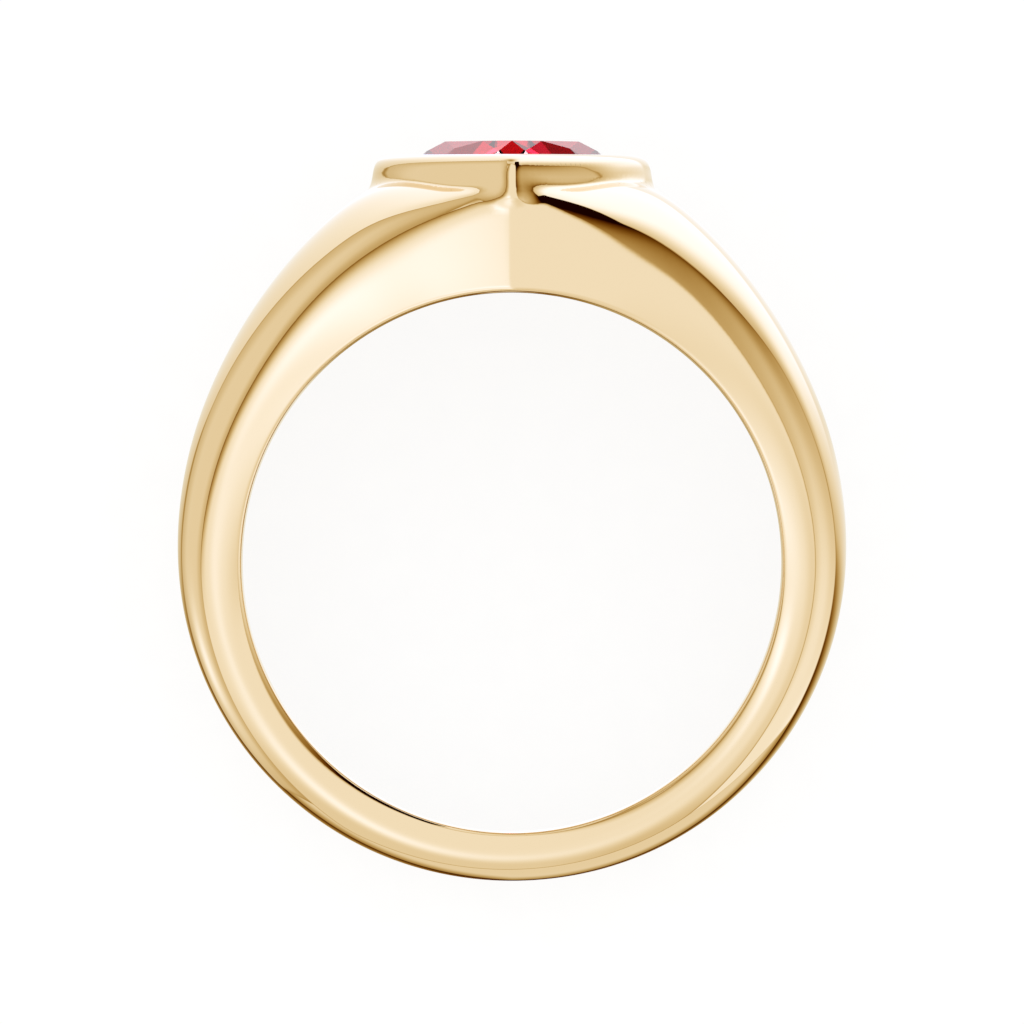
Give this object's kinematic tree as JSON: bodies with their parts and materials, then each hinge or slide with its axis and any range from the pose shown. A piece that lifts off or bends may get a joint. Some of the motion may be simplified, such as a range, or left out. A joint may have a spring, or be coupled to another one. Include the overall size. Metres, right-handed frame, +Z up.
{
  "type": "gemstone ring",
  "caption": "Polished yellow gold finger ring with broad tapering shoulders and a red pear-cut stone in a closed bezel, lying on its side.",
  "frame": {"origin": "centre of the bounding box on the surface that the ring lies on", "axes": "+Z up, away from the surface, within about 10 degrees of the finger hole's axis; +Y from the bottom of the band to the stone; +X across the finger hole"},
  "size_m": [0.0214, 0.0242, 0.0119],
  "materials": {
    "gold": "mirror polished 14k yellow gold",
    "red_stone": "polished, faceted, clear deep red"
  },
  "bodies": {
    "root": {"ring_body": "gold", "stone": "red_stone"}
  },
  "joints": []
}
